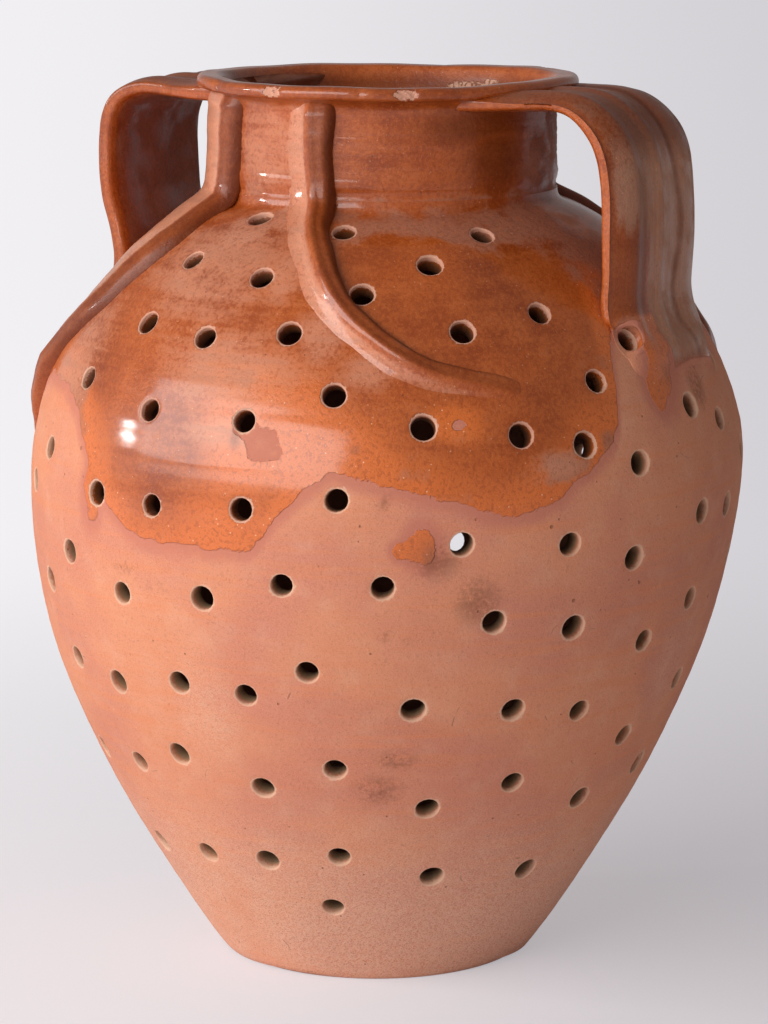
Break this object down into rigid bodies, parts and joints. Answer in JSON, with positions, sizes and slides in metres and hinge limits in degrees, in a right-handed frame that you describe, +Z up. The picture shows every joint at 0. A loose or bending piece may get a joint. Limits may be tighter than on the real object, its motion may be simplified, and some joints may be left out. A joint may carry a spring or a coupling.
{
  "type": "pierced storage pot",
  "caption": "Round-bellied pierced terracotta pot with a short rimmed neck, wide strap handles and luted clay strips, glazed on its upper half, for keeping live snails.",
  "frame": {"origin": "middle of the foot, on the surface that the pot stands on", "axes": "+Z up along the throwing axis, X through both handles with handle_right at +X, -Y the side that faces the camera's left"},
  "size_m": [0.2832, 0.2832, 0.35],
  "materials": {
    "bare_terracotta": "bare fired earthenware, matt and gritty, pink-orange",
    "amber_glaze": "glossy amber lead-type glaze over terracotta, uneven, with bare and worn patches"
  },
  "bodies": {
    "root": {"lower_body": "bare_terracotta", "shoulder": "amber_glaze", "neck": "amber_glaze", "handle_right": "amber_glaze", "handle_left": "amber_glaze", "strip_front_right": "amber_glaze", "strip_front_left": "amber_glaze", "strip_back_right": "amber_glaze", "strip_back_left": "amber_glaze"}
  },
  "joints": []
}
